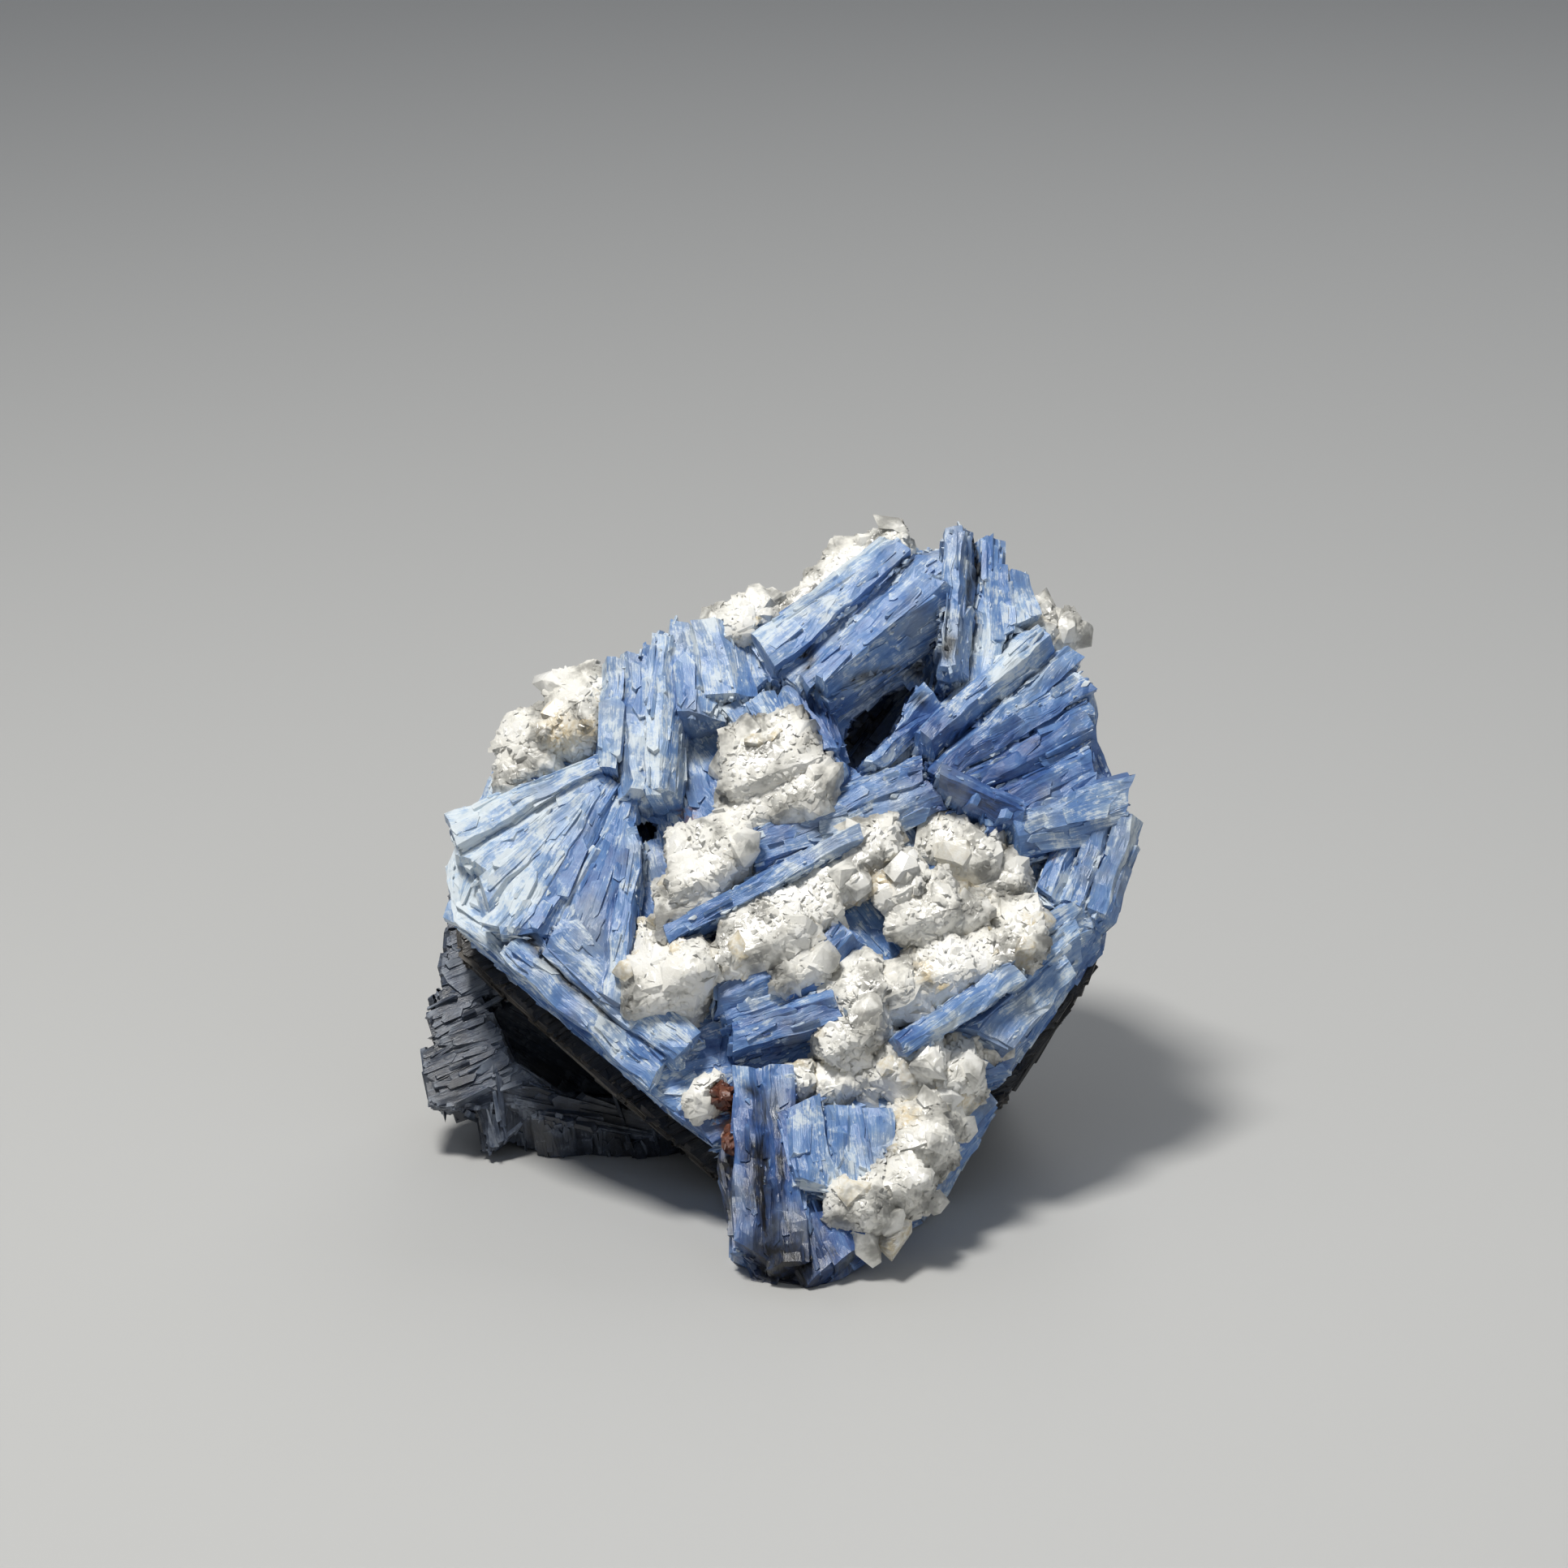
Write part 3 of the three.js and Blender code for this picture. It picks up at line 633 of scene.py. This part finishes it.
def bladed_material(name, stops, weathered, crust, crust_share):
    """A bladed mineral: streaks along the grain, pale crushed crust, weathered patches, painted shade in cracks.
    """
    s = Shader(name)
    grain = s.attribute("grain").outputs["Vector"]
    place = s.place()
    broad = s.noise(s.stretched(grain, (0.15, 1.4, 1.0)), 1.0, 4.0, 0.6)
    fine = s.noise(s.stretched(grain, (0.5, 7.0, 4.0)), 1.0, 4.0, 0.7)
    blotch = s.noise(place, 250.0, 6.0, 0.68)
    tone = s.attribute("tone").outputs["Fac"]
    tone = s.math("MULTIPLY_ADD", broad, 0.45, s.math("SUBTRACT", tone, 0.225))
    tone = s.math("MULTIPLY_ADD", fine, 0.3, s.math("SUBTRACT", tone, 0.15))
    tone = s.math("MULTIPLY_ADD", blotch, 0.8, s.math("SUBTRACT", tone, 0.42))
    ends = s.math("POWER", s.math("ABSOLUTE", s.attribute("end").outputs["Fac"]), 8.0)
    tone = s.math("MULTIPLY_ADD", ends, 0.12, tone)
    color = s.ramp(tone, stops)

    weather = s.noise(place, 190.0, 5.0, 0.6)
    color = s.blend(s.math("MULTIPLY", s.between(weather, 0.46, 0.68), 0.55), color, weathered)
    crumbs = s.noise(place, 850.0, 6.0, 0.72)
    crumbs = s.math("ADD", s.math("MULTIPLY", crumbs, 0.65), s.math("MULTIPLY", fine, 0.35))
    crumbs = s.math("ADD", crumbs, s.math("MULTIPLY", s.math("SUBTRACT", tone, 0.5), 0.42))
    crumbs = s.math("ADD", crumbs, s.math("MULTIPLY", s.math("SUBTRACT", blotch, 0.5), 0.3))
    crusted = s.math("MULTIPLY", s.between(crumbs, 0.5, 0.62), crust_share)
    color = s.blend(crusted, color, crust)

    # Painted shade: the colour is darkened towards blue grey where the solids close off the sky above a point.
    open_sky = s.between(s.attribute("open").outputs["Fac"], 0.0, 0.55)
    color = s.blend(1.0, color, s.ramp(open_sky, [(0.0, (0.26, 0.31, 0.4)), (1.0, (1, 1, 1))]), "MULTIPLY")
    speck = s.noise(place, 1500.0, 3.0, 0.6)
    rusty = s.math("MULTIPLY", s.attribute("rust").outputs["Fac"], s.between(speck, 0.42, 0.62))
    color = s.blend(rusty, color, (0.23, 0.10, 0.03))
    uneven_black = s.math("MULTIPLY_ADD", speck, 0.9, 0.5)
    blackened = s.math("MULTIPLY", s.attribute("black").outputs["Fac"], uneven_black)
    color = s.blend(blackened, color, (0.012, 0.012, 0.014))
    height = s.math("ADD", s.math("MULTIPLY", fine, 0.6), s.math("MULTIPLY", crumbs, 0.8))
    bump = s.add("ShaderNodeBump", {"Strength": 0.45, "Distance": 0.00016, "Height": height})
    rough = s.math("ADD", s.math("MULTIPLY_ADD", fine, 0.3, 0.18), s.math("MULTIPLY", crusted, 0.25))
    return s.finish(Base_Color=color, Roughness=rough, IOR=1.6, Normal=bump.outputs[0])


def quartz_material():
    """Milky vein quartz: clearer in places, rusty in its crevices, with shading softened by its depth."""
    s = Shader("milky_quartz")
    place = s.place()
    cloud = s.noise(place, 260.0, 4.0, 0.6)
    fleck = s.noise(place, 1500.0, 4.0, 0.7)
    milk = s.math("MULTIPLY_ADD", s.math("SUBTRACT", s.attribute("tone").outputs["Fac"], 0.5), 0.6, cloud)
    color = s.ramp(milk, [(0.3, (0.78, 0.77, 0.72)), (0.47, (0.9, 0.88, 0.81)), (0.7, (0.95, 0.94, 0.9))])
    closed = s.between(s.attribute("open").outputs["Fac"], 0.7, 0.2)
    color = s.blend(s.math("MULTIPLY", closed, s.between(fleck, 0.35, 0.7)), color, (0.72, 0.62, 0.42))
    rusty = s.math("MULTIPLY", s.attribute("rust").outputs["Fac"], s.between(fleck, 0.3, 0.65))
    color = s.blend(s.math("MULTIPLY", rusty, 0.75), color, (0.72, 0.55, 0.27))
    facing = s.add("ShaderNodeNewGeometry").outputs["Normal"]
    outward = s.attribute("grain").outputs["Vector"]
    shares = (1.3, 1.3, 1.3)
    soft = s.add("ShaderNodeVectorMath", {0: outward, 1: shares, 2: facing}, operation="MULTIPLY_ADD")
    soft = s.add("ShaderNodeVectorMath", {0: soft.outputs[0]}, operation="NORMALIZE").outputs[0]
    bump = s.add("ShaderNodeBump", {"Strength": 0.5, "Distance": 0.00015, "Height": fleck, "Normal": soft})
    clear = s.math("MULTIPLY", s.between(cloud, 0.52, 0.36), 0.6)
    return s.finish(
        Base_Color=color, Roughness=0.2, IOR=1.544, Transmission_Weight=clear, Normal=bump.outputs[0],
    )


def garnet_material():
    s = Shader("rusty_garnet")
    speck = s.noise(s.place(), 900.0, 4.0, 0.65)
    stops = [(0.3, (0.04, 0.01, 0.005)), (0.55, (0.16, 0.04, 0.014)), (0.8, (0.32, 0.12, 0.045))]
    color = s.ramp(speck, stops)
    bump = s.add("ShaderNodeBump", {"Strength": 0.6, "Distance": 0.0002, "Height": speck})
    return s.finish(Base_Color=color, Roughness=0.5, IOR=1.75, Normal=bump.outputs[0])


BLUE_STOPS = [
    (0.0, (0.013, 0.019, 0.038)),
    (0.2, (0.036, 0.095, 0.29)),
    (0.42, (0.125, 0.25, 0.52)),
    (0.62, (0.32, 0.46, 0.67)),
    (0.8, (0.5, 0.64, 0.78)),
    (1.0, (0.76, 0.82, 0.86)),
]
# The foot's palette, weathering and crust are darker than the blue kyanite's: partly the foot's own darker,
# mica-rich blades, partly painted shade of the overhanging slab.
DARK_SHADED_STOPS = [
    (0.0, (0.006, 0.007, 0.009)),
    (0.35, (0.025, 0.032, 0.048)),
    (0.65, (0.09, 0.115, 0.17)),
    (0.95, (0.34, 0.4, 0.48)),
]
MICA_STOPS = [
    (0.0, (0.004, 0.004, 0.005)),
    (0.45, (0.014, 0.014, 0.015)),
    (0.75, (0.06, 0.048, 0.036)),
    (1.0, (0.17, 0.14, 0.11)),
]

kyanite = bladed_material("blue_kyanite", BLUE_STOPS, (0.3, 0.34, 0.38), (0.72, 0.78, 0.81), 0.8)
dark_kyanite = bladed_material("dark_kyanite", DARK_SHADED_STOPS, (0.06, 0.06, 0.06), (0.3, 0.33, 0.37), 0.4)
mica = bladed_material("dark_mica", MICA_STOPS, (0.03, 0.026, 0.02), (0.14, 0.125, 0.105), 0.4)
quartz = quartz_material()
garnet = garnet_material()


# The pieces.


def even(value):
    """The same tone all over."""
    return lambda points: np.full(len(points), value)


def crumb_tone(points):
    """Crushed crumbs are paler than the blades they lie on."""
    return zone_tone(points) + 0.22


rng = np.random.default_rng(11)
crumb_shapes, quartz_shapes = crystal_templates(rng, 8), crystal_templates(rng, 16)
slab, on = Bundle(), FACETS["kyanite_slab"]
add_body(slab, on, rng, zone_tone, swell=SLAB_SWELL, longest=1.2 * MM, rough=0.35)
add_flakes(slab, on, rng, zone_tone, 0.1, length=3.5, width=1.6, height=0.07, lift=SLAB_SWELL)
add_flakes(slab, on, rng, zone_tone, 0.16, length=2.2, width=0.5, height=0.07, lift=SLAB_SWELL)
add_chips(
    slab, on, rng, crumb_shapes, crumb_tone, 1.0, size=0.17, limits=(0.08, 0.35), sink=0.2,
    along_grain=True, patch=0.1, lift=SLAB_SWELL,
)
add_chips(
    slab, on, rng, crumb_shapes, crumb_tone, 4.5, size=0.33, limits=(0.12, 0.65), sink=0.0,
    along_grain=True, patch=-0.2, lift=SLAB_SWELL, closed=0.6,
)
add_piece("blue_blades", slab.mesh("blue_blades"), kyanite, ["kyanite_slab"])

rng = np.random.default_rng(12)
# The foot's darker material is in part painted shade from the slab above it.
foot, on = Bundle(), FACETS["kyanite_foot"]
add_body(foot, on, rng, even(0.39))
add_flakes(foot, on, rng, even(0.41), 0.3, length=6, width=2.0, height=0.2)
add_flakes(foot, on, rng, even(0.45), 0.5, length=4, width=0.7, height=0.14)
add_flakes(foot, on, rng, even(0.5), 0.12, length=2.2, width=0.4, height=0.3, lean=7, over=0.8)
add_chips(
    foot, on, rng, crumb_shapes, even(0.5), 0.8, size=0.3, limits=(0.12, 0.7), sink=0.2,
    along_grain=True, patch=0.0,
)
add_piece("dark_shaded_blades", foot.mesh("dark_shaded_blades"), dark_kyanite, ["kyanite_foot"])

rng = np.random.default_rng(13)
leaves, on = Bundle(), FACETS["mica_layer"]
add_body(leaves, on, rng, even(0.42))
add_flakes(leaves, on, rng, even(0.5), 1.2, length=4, width=0.5, height=0.12, over=0.4)
add_chips(
    leaves, on, rng, crumb_shapes, even(0.5), 0.5, size=0.25, limits=(0.12, 0.5), sink=0.2,
    along_grain=True, patch=0.05,
)
add_piece("mica_leaves", leaves.mesh("mica_leaves"), mica, ["mica_layer"])

for number, node in enumerate(QUARTZ_NODES):
    rng = np.random.default_rng(40 + number)
    mass, on = Bundle(), FACETS[node]
    add_body(
        mass, on, rng, even(0.5), swell=QUARTZ_SWELL, longest=0.6 * MM, rough=0.25, rusty=QUARTZ_RUST_SPOTS,
    )
    add_chips(mass, on, rng, quartz_shapes, even(0.5), 0.6, size=0.9, limits=(0.5, 1.6), sink=0.65)
    add_chips(
        mass, on, rng, quartz_shapes, even(0.5), 4.5, size=0.34, limits=(0.15, 0.6), sink=0.5,
        lift=QUARTZ_SWELL,
    )
    # Quartz has no grain, so that attribute carries its outward direction.
    mass.grain = [outward_at(on, np.concatenate(mass.corners))]
    add_piece(node + "_crystals", mass.mesh(node + "_crystals"), quartz, [node])

for number, node in enumerate(GARNET_NODES):
    rng = np.random.default_rng(80 + number)
    lump, on = Bundle(), FACETS[node]
    add_body(lump, on, rng, even(0.5))
    add_chips(lump, on, rng, quartz_shapes, even(0.5), 4.0, size=0.3, limits=(0.15, 0.5), sink=0.3)
    add_piece(node + "_lump", lump.mesh(node + "_lump"), garnet, [node])


# The floor, the light and the camera.


def add_floor(size=3.0):
    mesh = bpy.data.meshes.new("floor")
    half = size / 2
    corners = [(-half, -half, 0), (half, -half, 0), (half, half, 0), (-half, half, 0)]
    mesh.from_pydata(corners, [], [(0, 1, 2, 3)])
    floor = bpy.data.objects.new("floor", mesh)
    bpy.context.scene.collection.objects.link(floor)
    mesh.materials.append(Shader("pale_floor").finish(Base_Color=(0.52, 0.52, 0.51, 1), Roughness=0.5))


def add_light(name, place, target, size, power, color=(1, 1, 1)):
    light = bpy.data.lights.new(name, "AREA")
    light.size = size
    light.energy = power
    light.color = color
    lamp = bpy.data.objects.new(name, light)
    lamp.location = place
    lamp.rotation_euler = (Vector(target) - Vector(place)).to_track_quat("-Z", "Y").to_euler()
    bpy.context.scene.collection.objects.link(lamp)


def add_camera():
    data = bpy.data.cameras.new("camera")
    data.sensor_width = 36
    data.lens = 36 * FOCAL_PIXELS / PHOTO_PIXELS
    data.clip_start = 0.01
    camera = bpy.data.objects.new("camera", data)
    camera.location = EYE
    camera.rotation_euler = (math.pi / 2 - PITCH, 0, 0)
    bpy.context.scene.collection.objects.link(camera)
    bpy.context.scene.camera = camera


scene = bpy.context.scene
middle = (0, 0, 0.025)
add_floor()
add_light("key", (-0.12, -0.1, 0.5), middle, 0.1, 2.4, (1, 0.98, 0.94))
add_light("fill", (0.35, -0.45, 0.3), middle, 0.4, 0.3, (0.92, 0.96, 1))
add_light("back", (0.15, 0.4, 0.45), middle, 0.3, 0.5)
add_camera()

world = bpy.data.worlds.new("studio")
world.use_nodes = True
world.node_tree.nodes["Background"].inputs["Color"].default_value = (0.72, 0.77, 0.85, 1)
world.node_tree.nodes["Background"].inputs["Strength"].default_value = 0.24
scene.world = world
scene.view_settings.view_transform = "Standard"
